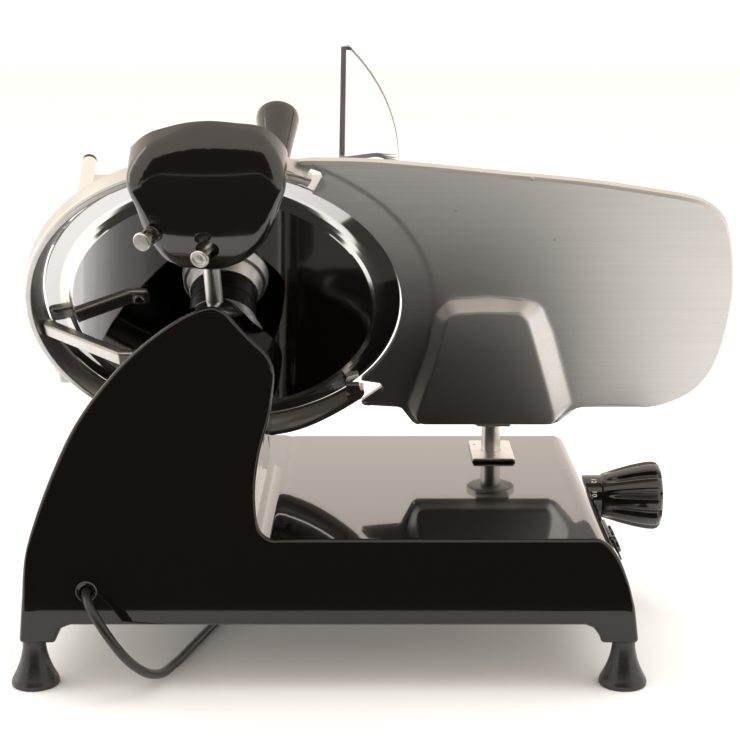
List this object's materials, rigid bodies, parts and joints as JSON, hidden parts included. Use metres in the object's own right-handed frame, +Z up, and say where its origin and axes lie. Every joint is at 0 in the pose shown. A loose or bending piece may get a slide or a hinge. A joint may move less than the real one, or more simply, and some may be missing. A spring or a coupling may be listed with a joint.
{
  "type": "meat slicer",
  "caption": "Electric gravity-feed slicer: tilted round blade in a guard ring, thickness gauge with knob, hand-pushed carriage with pusher and clear guard, built-in sharpener and mains lead",
  "frame": {"origin": "middle of the machine's box seen from above, on the surface it stands on, measured without its mains lead", "axes": "+Z up; +X along the carriage's stroke, from the blade towards the thickness knob; +Y from the upright's front face towards the user's side with the carriage"},
  "size_m": [0.496, 0.4037, 0.4173],
  "materials": {
    "black_paint": "warm black gloss enamel over cast aluminium",
    "black_plastic": "gloss black moulding",
    "satin_aluminium": "satin cast aluminium, anodised",
    "brushed_plate": "brushed and anodised",
    "mirror_steel": "mirror-polished hard-chromed blade steel",
    "chrome": "polished chrome",
    "steel": "machined steel",
    "clear_acrylic": "clear acrylic sheet with polished edges",
    "rubber": "smooth black rubber",
    "belt_rubber": "ribbed belt rubber",
    "cord_rubber": "smooth black cable sheath",
    "grinding_stone": "fine bonded grit"
  },
  "bodies": {
    "base": {"base_casting": "black_paint", "bottom_plate": "steel", "foot_front_left": "rubber", "foot_front_right": "rubber", "foot_rear_left": "rubber", "foot_rear_right": "rubber", "motor": "steel", "bearing_housing": "satin_aluminium", "front_bearing": "steel", "rear_bearing": "steel", "drive_belt": "belt_rubber", "guard_ring": "satin_aluminium", "ring_strut": "satin_aluminium", "strut_screw": "chrome", "ring_bracket": "satin_aluminium", "blade_cover": "brushed_plate", "slice_deflector": "black_plastic", "gauge_guide_rod": "steel", "switch_plate": "black_plastic", "switch_body": "black_plastic", "carriage_rail": "steel", "cord_gland": "rubber", "mains_cord": "cord_rubber", "cord_coil": "cord_rubber", "mains_plug": "rubber"},
    "blade": {"blade": "mirror_steel", "blade_flange": "steel", "blade_shaft": "steel", "blade_pulley": "steel", "blade_screw_1": "steel", "blade_screw_2": "steel", "blade_screw_3": "steel"},
    "motor_pulley": {"motor_pulley": "steel"},
    "gauge": {"gauge_plate": "brushed_plate", "gauge_post": "chrome", "slot_cover": "black_plastic", "gauge_slide": "steel"},
    "knob": {"knob": "black_plastic", "knob_shaft": "steel", "cam_disc": "steel"},
    "start_button": {"start_button": "black_plastic"},
    "stop_button": {"stop_button": "black_plastic"},
    "sharpener": {"sharpener_post": "chrome", "sharpener_cap": "black_plastic", "sharpener_frame": "steel", "button_collar": "black_plastic"},
    "sharpening_button": {"sharpening_button": "chrome"},
    "sharpening_wheel": {"sharpening_wheel": "grinding_stone"},
    "honing_button": {"honing_button": "chrome"},
    "honing_wheel": {"honing_wheel": "grinding_stone"},
    "carriage": {"tray": "brushed_plate", "carriage_arm": "satin_aluminium", "hand_guard": "clear_acrylic", "pusher_rod": "chrome", "rod_cap": "black_plastic"},
    "pusher_bush": {"pusher_bush": "black_plastic"},
    "pusher": {"pusher_arm": "satin_aluminium", "pusher_plate": "satin_aluminium", "pusher_handle": "black_plastic"}
  },
  "joints": [
    {"name": "blade_spin", "type": "hinge", "parent": "base", "child": "blade", "pos_m": [-0.11, -0.05137, 0.2429], "axis": [0, -0.8, -0.6], "continuous": true},
    {"name": "motor_spin", "type": "hinge", "parent": "base", "child": "motor_pulley", "pos_m": [-0.155, -0.08777, 0.1281], "axis": [0, -0.8, -0.6], "continuous": true},
    {"name": "gauge_travel", "type": "slide", "parent": "base", "child": "gauge", "axis": [0, -1, 0], "range_m": [0, 0.015]},
    {"name": "knob_turn", "type": "hinge", "parent": "base", "child": "knob", "pos_m": [0.1433, 0.02543, 0.0785], "axis": [1, 0, 0], "range_deg": [0, 300]},
    {"name": "start_press", "type": "slide", "parent": "base", "child": "start_button", "axis": [-0.913, 0, -0.408], "range_m": [0, 0.003], "stiffness_N_per_m": 600, "springref_m": -0.002},
    {"name": "stop_press", "type": "slide", "parent": "base", "child": "stop_button", "axis": [-0.913, 0, -0.408], "range_m": [0, 0.003], "stiffness_N_per_m": 600, "springref_m": -0.002},
    {"name": "sharpener_lift", "type": "slide", "parent": "base", "child": "sharpener", "axis": [0, -0.6, 0.8], "range_m": [0, 0.01]},
    {"name": "sharpening_press", "type": "slide", "parent": "sharpener", "child": "sharpening_button", "axis": [0.3099, 0.8876, 0.3408], "range_m": [0, 0.005], "stiffness_N_per_m": 500, "springref_m": -0.003},
    {"name": "sharpening_wheel_spin", "type": "hinge", "parent": "sharpening_button", "child": "sharpening_wheel", "pos_m": [-0.09284, -0.12803, 0.31427], "axis": [-0.3099, -0.8876, -0.3408], "continuous": true},
    {"name": "honing_press", "type": "slide", "parent": "sharpener", "child": "honing_button", "axis": [0.4006, 0.8814, 0.2504], "range_m": [0, 0.005], "stiffness_N_per_m": 500, "springref_m": -0.003},
    {"name": "honing_wheel_spin", "type": "hinge", "parent": "honing_button", "child": "honing_wheel", "pos_m": [-0.12097, -0.13112, 0.32039], "axis": [-0.4006, -0.8814, -0.2504], "continuous": true},
    {"name": "carriage_stroke", "type": "slide", "parent": "base", "child": "carriage", "axis": [1, 0, 0], "range_m": [0, 0.245]},
    {"name": "pusher_slide", "type": "slide", "parent": "carriage", "child": "pusher_bush", "axis": [0, 0.8, 0.6], "range_m": [-0.065, 0.075]},
    {"name": "pusher_swing", "type": "hinge", "parent": "pusher_bush", "child": "pusher", "pos_m": [-0.2299, 0.05263, 0.2709], "axis": [0, -0.8, -0.6], "range_deg": [0, 100]}
  ],
  "couplings": [
    {"joint": "motor_spin", "follows": "blade_spin", "ratio": 3.125},
    {"joint": "knob_turn", "follows": "gauge_travel", "rad_per_m": 349.07}
  ]
}
